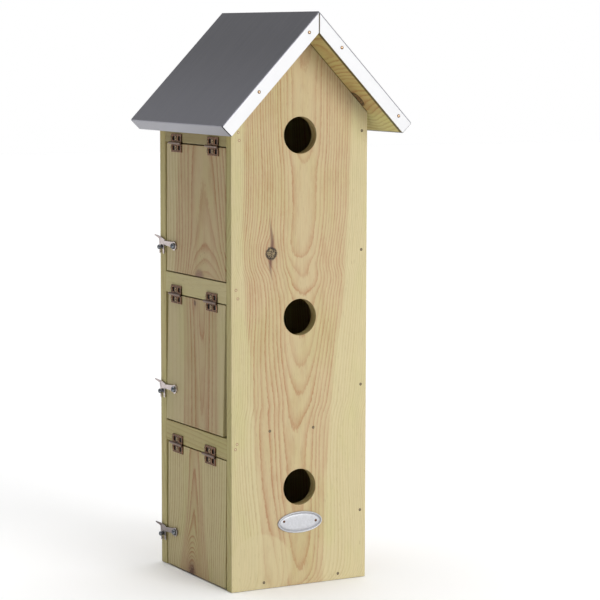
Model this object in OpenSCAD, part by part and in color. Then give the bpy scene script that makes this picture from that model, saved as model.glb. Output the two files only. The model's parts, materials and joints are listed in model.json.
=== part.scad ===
// Sparrow terrace: a wall-hung wooden nest box with three compartments,
// one above the other, each with its own entrance hole and side door.
// X runs along the front, Y from the front to the wall and Z up.
// The origin is the middle of the underside.

/* [Body] */
// Outside width of the box, across the front
body_w = 134; // [120:1:180]
// Outside depth of the box, from the front face to the back face
body_d = 141; // [130:1:180]
// Height of the side walls, up to the underside of the roof
wall_h = 414; // [380:1:450]
// Thickness of the wall and rail boards
wall_t = 11; // [9:0.5:13]
// Thickness of the front board
front_t = 9.5; // [8.5:0.5:13]
// Thickness of the floors
floor_t = 11; // [9:0.5:14]
// Height of the underside of the middle floor
middle_floor_z = 133.7; // [125:0.1:142]
// Height of the underside of the upper floor
upper_floor_z = 269.2; // [262:0.1:276]
// Height of the rail below the roof, on its outer face
top_rail_h = 27.8; // [20:0.1:34]
// Height of the two rails between the doors
rail_h = 18.4; // [16:0.1:24]

/* [Roof] */
// Slope of both sides of the roof, in degrees
roof_pitch = 46; // [40:0.5:50]
// Thickness of the roof boards
roof_t = 11.5; // [9:0.5:15]
// How far the roof boards pass the front face
front_overhang = 32.3; // [20:0.1:45]
// How far the roof boards pass the back face
back_overhang = 7.5; // [5:0.1:15]
// How far the roof boards run down the slope past the side walls
eave_reach = 23; // [15:0.5:32]
// Thickness of the metal sheet that covers the roof
sheet_t = 0.8; // [0.5:0.1:1.2]
// Width of the slit where the sheet's two end strips meet under the ridge
strip_slit = 0.4; // [0.2:0.1:1]
// Diameter of the domed heads of the roof pins
roof_pin_head_d = 2.9; // [2.5:0.1:5]

/* [Entrance holes] */
// Diameter of the three entrance holes
hole_d = 32; // [26:0.5:38]
// Height of the bottom hole's centre above the underside of its floor
bottom_hole_h = 87.4; // [60:0.1:95]
// Height of the middle hole's centre above the underside of its floor
middle_hole_h = 103.7; // [70:0.1:110]
// Height of the top hole's centre above the underside of its floor
top_hole_h = 126.2; // [90:0.1:150]

/* [Doors] */
// Gap above and below each door
door_gap = 1; // [0.9:0.1:1.5]
// Gap at the upper front corner of the top door
top_front_gap = 0.6; // [0.4:0.1:3]
// Gap at the upper rear corner of the top door
top_rear_gap = 3.4; // [1.8:0.1:5]
// How far the foot of the top door leans to the rear
top_skew = 1.1; // [0:0.1:1.4]
// Gap at the upper front corner of the middle door
middle_front_gap = 1.6; // [0.4:0.1:3]
// Gap at the upper rear corner of the middle door
middle_rear_gap = 5.6; // [5.6:0.1:8]
// How far the foot of the middle door leans to the rear
middle_skew = 5.3; // [0:0.1:5.3]
// Gap at the upper front corner of the bottom door
bottom_front_gap = 0.6; // [0.4:0.1:3]
// Gap at the upper rear corner of the bottom door
bottom_rear_gap = 4.3; // [2.6:0.1:6]
// How far the foot of the bottom door leans to the rear
bottom_skew = 2; // [0:0.1:2.2]
// Gap between a closed door and the edge of the floor that stops it
stop_gap = 0.3; // [0.2:0.1:1]

/* [Hinges] */
// Length of a hinge along its pin
hinge_w = 20.3; // [16:0.1:26]
// Height of a hinge leaf from the pin's axis to its outer edge
leaf_h = 8.2; // [7:0.1:10]
// Thickness of the hinge leaves
leaf_t = 1.1; // [0.7:0.1:1.2]
// Outside diameter of the knuckles
knuckle_d = 2.5; // [2.2:0.1:2.6]
// Diameter of the hinge pins
hinge_pin_d = 1.2; // [0.8:0.1:1.4]
// Gap between neighbouring knuckles
knuckle_gap = 0.25; // [0.15:0.05:0.5]
// How far the head of a hinge pin sticks out behind the leaves
pin_head_l = 3.6; // [1:0.1:5]
// Middle of each front hinge behind the front board, bottom door first
front_hinge_inset = [30, 26.7, 23.5]; // [18:0.1:32]
// Middle of each rear hinge ahead of the back board, bottom door first
rear_hinge_inset = [25, 23.5, 24.8]; // [20:0.1:32]

/* [Latches] */
// Distance from a latch's pivot to the middle of its fork
latch_reach = 25.5; // [22:0.1:30]
// Drop from a latch's pivot to the middle of its fork
latch_drop = 2.7; // [2:0.1:4]
// Width of the slot in the fork
fork_slot_w = 5; // [5:0.1:5.6]
// Width of each of the fork's two prongs
prong_w = 1.8; // [1.6:0.1:2.6]
// Depth of the prongs below the middle of the fork
prong_l = 5.8; // [4:0.1:6.5]
// How much the fork's mouth widens towards the pivot, so that it lifts off its screw
fork_lead = 0.8; // [0.6:0.1:1.4]
// Thickness of the latch arm
latch_t = 1; // [0.6:0.1:1.4]
// Diameter of the eye at the pivot
latch_eye_d = 8; // [7:0.1:10]
// Length of the finger tab that is bent out from the end of the latch
latch_tab_l = 5.6; // [4:0.1:7]
// Height of each pivot above the foot of its door, bottom door first
latch_h = [32, 29.3, 23.3]; // [15:0.1:40]
// Droop of each closed latch arm in degrees, bottom door first
latch_droop = [7, 4.5, 0]; // [0:0.5:8]
// Thickness of the washer between a latch and its door
washer_t = 0.8; // [0.5:0.1:1.2]
// Outside diameter of that washer
washer_d = 7; // [6:0.1:8]
// Diameter of the pivot screws' shanks
pivot_d = 3; // [2.4:0.1:3.4]
// Diameter of the pivot screws' heads
pivot_head_d = 5.5; // [4.5:0.1:6.5]
// Diameter of the catch screws' shanks
catch_d = 3.4; // [2.4:0.1:3.6]
// Diameter of the catch screws' heads, narrower than the slot
catch_head_d = 4.4; // [4:0.1:4.4]
// Height of the pivot screws' heads
pivot_head_h = 2.5; // [1.6:0.1:3]
// Height of the catch screws' heads
catch_head_h = 1.8; // [1.2:0.1:2.4]

/* [Nails] */
// Diameter of the nails that hold the boards
nail_d = 1.6; // [1.2:0.1:2]
// Length of those nails
nail_l = 24; // [20:0.5:26]
// Diameter of their heads, which lie flush with the wood
nail_head_d = 2.6; // [2.2:0.1:3.5]
// Diameter of the small pins in the hinges, the roof sheet and the oval plate
tack_d = 1.2; // [0.9:0.1:1.4]
// Length of those pins under the head
tack_l = 7; // [5:0.5:8]

/* [Oval plate] */
// Width of the plate
plate_w = 44; // [40:0.5:56]
// Height of the plate
plate_h = 19; // [15:0.5:24]
// Thickness of the plate at its rim
plate_t = 1.6; // [1.2:0.1:2.5]
// Width of the raised rim
plate_rim = 1.8; // [1.2:0.1:2.5]
// Height of the plate's centre above the underside of the box
plate_z = 56.2; // [25:0.1:58]
// Distance between the plate's two pins
plate_pin_gap = 31.6; // [24:0.1:32]
// How much higher the plate's left pin stands than its right one
left_pin_rise = 1.8; // [0:0.1:3]

/* [Wall hanger] */
// Width of the hanger
hanger_w = 24; // [20:0.5:32]
// Thickness of the hanger
hanger_t = 1.5; // [1:0.1:2.5]
// Diameter of the hole that the wall screw passes through
hanger_hole_d = 6; // [4:0.5:8]
// Diameter of the hanger's screws
hanger_screw_d = 3; // [2.5:0.1:3.5]

/* [Hidden] */
$fn = 48;

// Storeys, in the order in which every list here runs
BOTTOM = 0;
MIDDLE = 1;
TOP = 2;
STOREYS = [BOTTOM, MIDDLE, TOP];
LEFT = -1;
RIGHT = 1;
SIDES = [LEFT, RIGHT];

// Overshoot of a cut past the face that it opens
over = 1;
// Radial clearance of a nail or screw in its hole
nail_clear = 0.05;
// Radial clearance of the hinge pins in the frame's knuckles and in the door's
pin_seat_clear = 0.02;
pin_run_clear = 0.06;
// Radial clearance of a latch on its pivot, and its play under the screw's head
pivot_clear = 0.05;
latch_play = 0.1;

// Faces of the box
half_w = body_w / 2;
half_d = body_d / 2;
inner_x = half_w - wall_t;
inner_y = half_d - wall_t;
front_in = -half_d + front_t;
inner_d = inner_y - front_in;
wall_mid = wall_t / 2;
apex_z = wall_h + half_w * tan(roof_pitch);
top_rail_z = wall_h - top_rail_h;

// Heights of the storeys
floor_z = [0, middle_floor_z, upper_floor_z];
rail_z = [middle_floor_z - rail_h, upper_floor_z - rail_h, top_rail_z];
hole_z = floor_z + [bottom_hole_h, middle_hole_h, top_hole_h];

// Roof, measured along the slope from the ridge line and square to the slope
board_l = half_w / cos(roof_pitch) + eave_reach;
roof_front_y = -half_d - front_overhang;
roof_back_y = half_d + back_overhang;
roof_pin_l = 10;
roof_pin_head_h = 0.6;
roof_pin_rise = roof_t * 0.6;
// Distance of each roof pin from the ridge, left slope first
roof_pin_run = [[6.8, 75.8], [24.6, 106.3]];
// Distance of each roof board nail from the ridge
roof_nail_run = [30, 80];

// Doors
door_lo = floor_z + [door_gap, door_gap, door_gap];
door_hi = rail_z - [door_gap, door_gap, door_gap];
front_gap = [bottom_front_gap, middle_front_gap, top_front_gap];
rear_gap = [bottom_rear_gap, middle_rear_gap, top_rear_gap];
skew = [bottom_skew, middle_skew, top_skew];

// Hinges: the axis stands clear of the wall by a little more than a knuckle's radius
hinge_axis_off = knuckle_d / 2 + 0.15;
hinge_x = -half_w - hinge_axis_off;
hinge_z = door_hi + [door_gap, door_gap, door_gap] / 2;
knuckle_l = (hinge_w - 2 * knuckle_gap) / 3;
leaf_start = knuckle_d / 2 + 0.25;
// Two pressed windows, one nail between them and one in the ear at the rear end
window_floor_t = 0.3;
leaf_rail = 1.7;
window_w = 4.5;
window_h = leaf_h - leaf_rail - leaf_start - 0.6;
window_pitch = 11.5;
nail_row = leaf_h - leaf_rail - window_h / 2;
ear_d = 3.6;
ear_y = hinge_w / 2 - 0.4;
LEAF_NAILS = [0, ear_y];
tack_head_d = 2.4;
leaf_head_d = 4;
tack_head_h = 0.4;

// Latches
catch_y = half_d - wall_mid;
pivot_y = catch_y - latch_reach;
pivot_z = door_lo + latch_h;
arm_outer = washer_t + latch_t;
arm_top = 3.4;
arm_bottom = [-1.9, -0.4];
// Where the arm steps up to the plate, and the height of the plate at its rear end
step_y = latch_reach - 6.5;
step_top = 4.4;
plate_top = 6.7;
// The finger tab: its bend in degrees, its height at the root and the tip, and its rise
tab_bend = 45;
tab_root = 2.7;
tab_tip = 1.1;
tab_rise = 2.1;
pivot_screw_l = wall_t - 2;
catch_screw_l = 12;
catch_head_gap = 1.7;

// Nails: heads are as thick as this, and lie flush
nail_head_t = 0.8;
// Drift of the hand-driven nails in the rails' ends: sideways, then above the rail's underside
rail_nail_drift = [[[-1.7, 10.4], [-0.1, 14.9]], [[0.9, 5.6], [-1, 13.1]], [[2.3, 5.7], [1.4, 12.5]]];
// Places of the floors' nails across the front, bottom floor first
floor_nail_x = [[-35.3, 39.1], [-29.6, 13.6], [-30, 30]];
// Heights of the nails in the right side board, and depth places of its nails into the floors
side_nail_z = [61, middle_floor_z + 40.4, upper_floor_z + 24.6, wall_h - 15.8];
side_nail_y = [-35, 35];

// Oval plate
plate_field_t = plate_t / 2;
plate_steps = 72;

// Wall hanger: a low flange on the back board and a tab level with the roof's rear pins
hanger_flange_h = 28;
hanger_tab_h = 22;
hanger_step = back_overhang + sheet_t + roof_pin_head_h - hanger_t;
hanger_top_gap = 7;
hanger_top = apex_z - hanger_w / 2 * tan(roof_pitch) - hanger_top_gap;
hanger_z = hanger_top - hanger_tab_h - hanger_step - hanger_flange_h;
hanger_hole_z = hanger_top - hanger_tab_h / 2;
hanger_screw_x = hanger_w / 2 - 5;
hanger_screw_z = hanger_z + 12;
hanger_screw_l = hanger_t + wall_t - 2;
hanger_screw_head_d = 5.6;
hanger_screw_head_h = 1.8;

// A point of the roof: side, run down the slope, rise square to it
function slope_point(side, run, rise) = [
    side * (run * cos(roof_pitch) + rise * sin(roof_pitch)),
    apex_z - run * sin(roof_pitch) + rise * cos(roof_pitch)];

// Height of the ridge line of a layer that lies this far above the roof's underside
function ridge_z(rise) = apex_z + rise / cos(roof_pitch);

// A drawing in X and Z, as a slab that starts at y
module upright(y, t) {
    translate([0, y + t, 0]) rotate([90, 0, 0]) linear_extrude(t) children();
}

// A drawing in Y and Z, as a slab that starts at x
module sideways(x, t) {
    translate([x, 0, 0]) rotate([90, 0, 90]) linear_extrude(t) children();
}

// Turn a downward nail so that it is driven to the back, the front, the right or the left
module to_back() rotate([90, 0, 0]) children();
module to_front() rotate([-90, 0, 0]) children();
module to_right() rotate([0, -90, 0]) children();
module to_left() rotate([0, 90, 0]) children();

// Board nail, driven down, with its head flush at the origin; clear makes its hole
module nail(clear = 0) {
    cut = clear > 0 ? over : 0;
    translate([0, 0, -nail_l - clear]) cylinder(d = nail_d + 2 * clear, h = nail_l + clear);
    translate([0, 0, -nail_head_t - clear])
        cylinder(d = nail_head_d + 2 * clear, h = nail_head_t + clear + cut);
}

// Headed fastener, driven down, with the seat of its head at the origin
module fastener(d, l, head_d, head_h) {
    translate([0, 0, -l]) cylinder(d = d, h = l);
    cylinder(d = head_d, h = head_h);
}

// Hole for such a fastener
module fastener_hole(d, l) {
    translate([0, 0, -l - nail_clear]) cylinder(d = d + 2 * nail_clear, h = l + nail_clear + over);
}

// Places of the nails in the front board and, mirrored, in the back board
module rail_nail_places() {
    for (s = STOREYS)
        for (p = rail_nail_drift[s])
            translate([-half_w + wall_mid + p[0], -half_d, rail_z[s] + p[1]]) to_back() children();
}

module side_board_nail_places() {
    for (z = side_nail_z)
        translate([half_w - wall_mid, -half_d, z]) to_back() children();
}

module floor_nail_places(storeys) {
    for (s = storeys)
        for (x = floor_nail_x[s])
            translate([x, -half_d, floor_z[s] + floor_t / 2]) to_back() children();
}

module front_nail_places() {
    rail_nail_places() children();
    side_board_nail_places() children();
    floor_nail_places([BOTTOM, MIDDLE]) children();
}

module back_nail_places() {
    mirror([0, 1, 0]) {
        rail_nail_places() children();
        side_board_nail_places() children();
        floor_nail_places(STOREYS) children();
    }
}

// Places of the nails through the right side board into the floors
module side_nail_places() {
    for (s = STOREYS)
        for (y = side_nail_y)
            translate([half_w, y, floor_z[s] + floor_t / 2]) to_left() children();
}

// Places of the nails through the roof boards into the front and back boards
module roof_nail_places(sides) {
    for (side = sides)
        for (run = roof_nail_run)
            for (y = [-half_d + front_t / 2, half_d - wall_mid]) {
                p = slope_point(side, run, roof_t);
                translate([p[0], y, p[1]]) rotate([0, side * roof_pitch, 0]) children();
            }
}

// Places of the roof pins in the sheet's front and back strips
module roof_pin_places(sides) {
    for (side = sides)
        for (run = roof_pin_run[side == LEFT ? 0 : 1]) {
            p = slope_point(side, run, roof_pin_rise);
            translate([p[0], roof_front_y - sheet_t, p[1]]) to_back() children();
            translate([p[0], roof_back_y + sheet_t, p[1]]) to_front() children();
        }
}

// Gabled board, for the front and the back
module gable_drawing() {
    polygon([[-half_w, 0], [half_w, 0], [half_w, wall_h], [0, apex_z], [-half_w, wall_h]]);
}

module front_panel() {
    color("burlywood") difference() {
        upright(-half_d, front_t) gable_drawing();
        for (s = STOREYS)
            translate([0, -half_d - over, hole_z[s]]) rotate([-90, 0, 0])
                cylinder(d = hole_d, h = front_t + 2 * over);
        front_nail_places() nail(nail_clear);
        roof_nail_places(SIDES) nail(nail_clear);
        plate_pin_places() fastener_hole(tack_d, tack_l);
    }
}

module back_panel() {
    color("burlywood") difference() {
        upright(inner_y, wall_t) gable_drawing();
        back_nail_places() nail(nail_clear);
        roof_nail_places(SIDES) nail(nail_clear);
        hanger_screw_places() fastener_hole(hanger_screw_d, hanger_screw_l);
        catch_places() fastener_hole(catch_d, catch_screw_l);
    }
}

// Upper part of a side wall, planed to the roof's slope
module wall_top_drawing(low) {
    inner_top = wall_h + wall_t * tan(roof_pitch);
    polygon([[inner_x, low], [half_w, low], [half_w, wall_h], [inner_x, inner_top]]);
}

module right_side_panel() {
    color("tan") difference() {
        upright(front_in, inner_d) wall_top_drawing(0);
        front_nail_places() nail(nail_clear);
        back_nail_places() nail(nail_clear);
        side_nail_places() nail(nail_clear);
    }
}

// Floor of a storey, from the door's inner face to the right side board
module floor_board(s) {
    difference() {
        translate([-inner_x + stop_gap, front_in, floor_z[s]])
            cube([2 * inner_x - stop_gap, inner_d, floor_t]);
        front_nail_places() nail(nail_clear);
        back_nail_places() nail(nail_clear);
        side_nail_places() nail(nail_clear);
    }
}

module bottom_floor() {
    color("tan") floor_board(BOTTOM);
}

module middle_floor() {
    color("tan") floor_board(MIDDLE);
}

module upper_floor() {
    color("tan") floor_board(TOP);
}

// Holes that every rail has for its nails and for the hinges below it
module rail_holes() {
    front_nail_places() nail(nail_clear);
    back_nail_places() nail(nail_clear);
    frame_leaf_nail_places(LEAF_NAILS) fastener_hole(tack_d, tack_l);
}

module top_rail() {
    color("tan") difference() {
        upright(front_in, inner_d) mirror([1, 0]) wall_top_drawing(top_rail_z);
        rail_holes();
    }
}

module rail(s) {
    difference() {
        translate([-half_w, front_in, rail_z[s]]) cube([wall_t, inner_d, rail_h]);
        rail_holes();
    }
}

module upper_rail() {
    color("tan") rail(MIDDLE);
}

module lower_rail() {
    color("tan") rail(BOTTOM);
}

// Section of one roof board, mitred at the ridge and square at the eave
module roof_board_drawing(side) {
    polygon([slope_point(side, 0, 0), [0, ridge_z(roof_t)],
        slope_point(side, board_l, roof_t), slope_point(side, board_l, 0)]);
}

module roof_board(side) {
    difference() {
        upright(roof_front_y, roof_back_y - roof_front_y) roof_board_drawing(side);
        roof_nail_places([side]) nail(nail_clear);
        roof_pin_places([side]) fastener_hole(tack_d, roof_pin_l);
    }
}

module left_roof_board() {
    color("tan") roof_board(LEFT);
}

module right_roof_board() {
    color("tan") roof_board(RIGHT);
}

// Section of the sheet over both boards, folded down over the eaves
module sheet_drawing() {
    outer_run = board_l + sheet_t;
    outer_rise = roof_t + sheet_t;
    polygon([slope_point(LEFT, outer_run, 0), slope_point(LEFT, outer_run, outer_rise),
        [0, ridge_z(outer_rise)],
        slope_point(RIGHT, outer_run, outer_rise), slope_point(RIGHT, outer_run, 0),
        slope_point(RIGHT, board_l, 0), slope_point(RIGHT, board_l, roof_t),
        [0, ridge_z(roof_t)],
        slope_point(LEFT, board_l, roof_t), slope_point(LEFT, board_l, 0)]);
}

// Strip that the sheet folds down over the boards' ends, slit under the ridge
module end_strip_drawing() {
    difference() {
        for (side = SIDES)
            roof_board_drawing(side);
        translate([-strip_slit / 2, apex_z - over]) square([strip_slit, ridge_z(roof_t) - apex_z + over]);
    }
}

module roof_sheet() {
    color("slategray") difference() {
        union() {
            upright(roof_front_y - sheet_t, roof_back_y - roof_front_y + 2 * sheet_t) sheet_drawing();
            upright(roof_front_y - sheet_t, sheet_t) end_strip_drawing();
            upright(roof_back_y, sheet_t) end_strip_drawing();
        }
        roof_pin_places(SIDES) fastener_hole(tack_d, roof_pin_l);
    }
}

module roof_pins() {
    color("peru") roof_pin_places(SIDES) fastener(tack_d, roof_pin_l, roof_pin_head_d, roof_pin_head_h);
}

module roof_board_nails() {
    color("gray") roof_nail_places(SIDES) nail();
}

module front_nails() {
    color("gray") front_nail_places() nail();
}

module back_nails() {
    color("gray") back_nail_places() nail();
}

module side_nails() {
    color("gray") side_nail_places() nail();
}

// Oval drawing of a given width and height
module oval(w, h) {
    turn = 360 / plate_steps;
    polygon([for (i = [0:plate_steps - 1]) [w / 2 * cos(i * turn), h / 2 * sin(i * turn)]]);
}

// The plate's pins stand on its low field
module plate_pin_places() {
    for (side = SIDES)
        translate([side * plate_pin_gap / 2, -half_d - plate_field_t, plate_z + (side < 0 ? left_pin_rise : 0)])
            to_back() children();
}

module oval_plate() {
    color("silver") difference() {
        translate([0, 0, plate_z]) upright(-half_d - plate_t, plate_t) oval(plate_w, plate_h);
        translate([0, 0, plate_z]) upright(-half_d - plate_t - over, plate_t - plate_field_t + over)
            oval(plate_w - 2 * plate_rim, plate_h - 2 * plate_rim);
        plate_pin_places() fastener_hole(tack_d, tack_l);
    }
}

module plate_pins() {
    color("saddlebrown") plate_pin_places() fastener(tack_d, tack_l, tack_head_d, tack_head_h);
}

// Side view of the hanger: flange, slanting step and tab, all as thick as each other
module hanger_drawing() {
    bend = hanger_t * tan(22.5);
    step_z = hanger_z + hanger_flange_h;
    tab_y = half_d + hanger_step;
    polygon([[half_d, hanger_z], [half_d + hanger_t, hanger_z], [half_d + hanger_t, step_z],
        [tab_y + hanger_t, step_z + hanger_step], [tab_y + hanger_t, hanger_top],
        [tab_y, hanger_top], [tab_y, step_z + hanger_step + bend], [half_d, step_z + bend]]);
}

module hanger_screw_places() {
    for (side = SIDES)
        translate([side * hanger_screw_x, half_d + hanger_t, hanger_screw_z]) to_front() children();
}

module wall_hanger() {
    color("lightgray") difference() {
        sideways(-hanger_w / 2, hanger_w) hanger_drawing();
        translate([0, half_d + hanger_step - over, hanger_hole_z]) rotate([-90, 0, 0])
            cylinder(d = hanger_hole_d, h = hanger_t + 2 * over);
        hanger_screw_places() fastener_hole(hanger_screw_d, hanger_screw_l);
    }
}

module hanger_screws() {
    color("lightgray") hanger_screw_places()
        fastener(hanger_screw_d, hanger_screw_l, hanger_screw_head_d, hanger_screw_head_h);
}

// Frame of a hinge: origin on its axis at its middle, X towards the wall
module hinge_places(storeys) {
    for (s = storeys) {
        translate([hinge_x, front_in + front_hinge_inset[s], hinge_z[s]]) children();
        translate([hinge_x, inner_y - rear_hinge_inset[s], hinge_z[s]]) children();
    }
}

// Places of a leaf's nails, at these distances from its middle; up is 1 on the frame and -1 on the door
module leaf_nail_places(up, at) {
    for (y = at)
        translate([hinge_axis_off - leaf_t, y, up * nail_row]) to_right() children();
}

module frame_leaf_nail_places(at) {
    hinge_places(STOREYS) leaf_nail_places(1, at) children();
}

module door_leaf_nail_places(s, at) {
    hinge_places([s]) leaf_nail_places(-1, at) children();
}

// Flat outline of a leaf above the axis
module leaf_drawing() {
    translate([-hinge_w / 2, leaf_start]) square([hinge_w, leaf_h - leaf_start]);
    translate([ear_y, nail_row]) circle(d = ear_d);
}

// The two windows that are pressed into a leaf
module window_drawing() {
    for (side = SIDES)
        translate([side * window_pitch / 2 - window_w / 2, nail_row - window_h / 2])
            square([window_w, window_h]);
}

// One hinge leaf with its own knuckles out of the three
module hinge_leaf(up, knuckles, bore_clear) {
    difference() {
        union() {
            mirror([0, 0, up > 0 ? 0 : 1]) sideways(hinge_axis_off - leaf_t, leaf_t) leaf_drawing();
            for (k = knuckles)
                translate([0, -hinge_w / 2 + k * (knuckle_l + knuckle_gap), 0]) {
                    rotate([-90, 0, 0]) cylinder(d = knuckle_d, h = knuckle_l);
                    mirror([0, 0, up > 0 ? 0 : 1]) translate([hinge_axis_off - leaf_t, 0, 0])
                        cube([leaf_t, knuckle_l, leaf_start + leaf_t / 2]);
                }
        }
        translate([0, -hinge_w / 2 - over, 0]) rotate([-90, 0, 0])
            cylinder(d = hinge_pin_d + 2 * bore_clear, h = hinge_w + 2 * over);
        mirror([0, 0, up > 0 ? 0 : 1])
            sideways(hinge_axis_off - leaf_t - over, leaf_t - window_floor_t + over) window_drawing();
        leaf_nail_places(up, LEAF_NAILS) fastener_hole(tack_d, tack_l);
    }
}

module frame_leaves(s) {
    color("sienna") hinge_places([s]) hinge_leaf(1, [0, 2], pin_seat_clear);
}

module door_leaves(s) {
    color("sienna") hinge_places([s]) hinge_leaf(-1, [1], pin_run_clear);
}

// Pin with a thick end behind the last knuckle
module hinge_pins(s) {
    color("sienna") hinge_places([s]) translate([0, hinge_w / 2, 0]) rotate([90, 0, 0]) {
        cylinder(d = hinge_pin_d, h = hinge_w);
        translate([0, 0, -pin_head_l]) cylinder(d = knuckle_d - 0.3, h = pin_head_l);
    }
}

// The nail between the windows has a wider head than the one in the ear
module frame_leaf_nails() {
    color("darkkhaki") {
        frame_leaf_nail_places([0]) fastener(tack_d, tack_l, leaf_head_d, tack_head_h);
        frame_leaf_nail_places([ear_y]) fastener(tack_d, tack_l, tack_head_d, tack_head_h);
    }
}

module door_leaf_nails(s) {
    color("darkkhaki") {
        door_leaf_nail_places(s, [0]) fastener(tack_d, tack_l, leaf_head_d, tack_head_h);
        door_leaf_nail_places(s, [ear_y]) fastener(tack_d, tack_l, tack_head_d, tack_head_h);
    }
}

// Door panel, leaning to the rear at its foot
module door(s) {
    front_y = front_in + front_gap[s];
    rear_y = inner_y - rear_gap[s];
    color("wheat") difference() {
        sideways(-half_w, wall_t) polygon([[front_y, door_hi[s]], [rear_y, door_hi[s]],
            [rear_y + skew[s], door_lo[s]], [front_y + skew[s], door_lo[s]]]);
        door_leaf_nail_places(s, LEAF_NAILS) fastener_hole(tack_d, tack_l);
        pivot_place(s) fastener_hole(pivot_d, pivot_screw_l);
    }
}

// A latch screw's place on the wall's outer face
module pivot_place(s) {
    translate([-half_w, pivot_y, pivot_z[s]]) to_right() children();
}

// Frame of a latch: origin at its pivot on the wall's face, Y along the arm
module latch_place(s) {
    translate([-half_w, pivot_y, pivot_z[s]]) rotate([-latch_droop[s], 0, 0]) children();
}

// A catch screw stands in the middle of the closed latch's fork
module catch_places() {
    for (s = STOREYS)
        latch_place(s) translate([0, latch_reach, -latch_drop]) to_right() children();
}

module catch_screws() {
    head_x = arm_outer + catch_head_gap;
    color("dimgray") catch_places() translate([0, 0, head_x])
        fastener(catch_d, catch_screw_l + head_x, catch_head_d, catch_head_h);
}

module pivot_screw(s) {
    head_x = arm_outer + latch_play;
    color("dimgray") pivot_place(s) translate([0, 0, head_x])
        fastener(pivot_d, pivot_screw_l + head_x, pivot_head_d, pivot_head_h);
}

module washer(s) {
    color("silver") latch_place(s) difference() {
        to_left() translate([0, 0, -washer_t]) cylinder(d = washer_d, h = washer_t);
        pivot_bore();
    }
}

module pivot_bore() {
    to_left() translate([0, 0, -arm_outer - over])
        cylinder(d = pivot_d + 2 * pivot_clear, h = arm_outer + 2 * over);
}

// Flat outline of a latch: eye, arm, and the plate that carries the fork
module latch_drawing() {
    fork_half = fork_slot_w / 2;
    front_y = latch_reach - fork_half - 1.5 * prong_w;
    rear_y = latch_reach + fork_half + prong_w;
    foot_z = -latch_drop - prong_l;
    difference() {
        union() {
            circle(d = latch_eye_d);
            polygon([[0, arm_bottom[0]], [front_y, arm_bottom[1]], [front_y, foot_z], [rear_y, foot_z],
                [rear_y, plate_top], [rear_y - 2 * latch_t, plate_top], [step_y, step_top],
                [step_y, arm_top], [0, arm_top]]);
        }
        translate([latch_reach, -latch_drop]) circle(d = fork_slot_w);
        polygon([[latch_reach + fork_half, -latch_drop], [latch_reach - fork_half, -latch_drop],
            [latch_reach - fork_half - fork_lead, foot_z - over], [latch_reach + fork_half, foot_z - over]]);
    }
}

// Finger tab, bent outwards from the rear end of the plate and rising to its tip
module latch_tab() {
    rear_y = latch_reach + fork_slot_w / 2 + prong_w;
    translate([-washer_t, rear_y - 1.2 * latch_t, 0]) rotate([0, 0, tab_bend])
        sideways(-latch_t, latch_t) polygon([[0, plate_top - tab_root], [0, plate_top],
            [latch_tab_l, plate_top + tab_rise], [latch_tab_l, plate_top + tab_rise - tab_tip]]);
}

module latch(s) {
    color("gainsboro") latch_place(s) difference() {
        union() {
            sideways(-arm_outer, latch_t) latch_drawing();
            latch_tab();
        }
        pivot_bore();
    }
}

front_panel();
back_panel();
right_side_panel();
bottom_floor();
middle_floor();
upper_floor();
top_rail();
upper_rail();
lower_rail();
left_roof_board();
right_roof_board();
roof_sheet();
roof_pins();
roof_board_nails();
front_nails();
back_nails();
side_nails();
oval_plate();
plate_pins();
wall_hanger();
hanger_screws();
catch_screws();
frame_leaf_nails();
frame_leaves(BOTTOM);  // bottom_frame_leaves
hinge_pins(BOTTOM);  // bottom_hinge_pins
door(BOTTOM);  // bottom_door
door_leaves(BOTTOM);  // bottom_door_leaves
door_leaf_nails(BOTTOM);  // bottom_door_leaf_nails
pivot_screw(BOTTOM);  // bottom_pivot_screw
washer(BOTTOM);  // bottom_washer
latch(BOTTOM);  // bottom_latch
frame_leaves(MIDDLE);  // middle_frame_leaves
hinge_pins(MIDDLE);  // middle_hinge_pins
door(MIDDLE);  // middle_door
door_leaves(MIDDLE);  // middle_door_leaves
door_leaf_nails(MIDDLE);  // middle_door_leaf_nails
pivot_screw(MIDDLE);  // middle_pivot_screw
washer(MIDDLE);  // middle_washer
latch(MIDDLE);  // middle_latch
frame_leaves(TOP);  // top_frame_leaves
hinge_pins(TOP);  // top_hinge_pins
door(TOP);  // top_door
door_leaves(TOP);  // top_door_leaves
door_leaf_nails(TOP);  // top_door_leaf_nails
pivot_screw(TOP);  // top_pivot_screw
washer(TOP);  // top_washer
latch(TOP);  // top_latch
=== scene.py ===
"""Looks of the sparrow terrace: a tall nest box of impregnated pine under a folded metal roof.

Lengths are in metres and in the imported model's frame: x 0 is the middle of the width, y 0 the middle of the
depth, z 0 the underside. The front faces -y and the doors face -x. Grain is laid out in millimetres.
"""
import json
import math

import bmesh
import bpy
import numpy
from mathutils import Euler, Matrix, Vector


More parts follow.
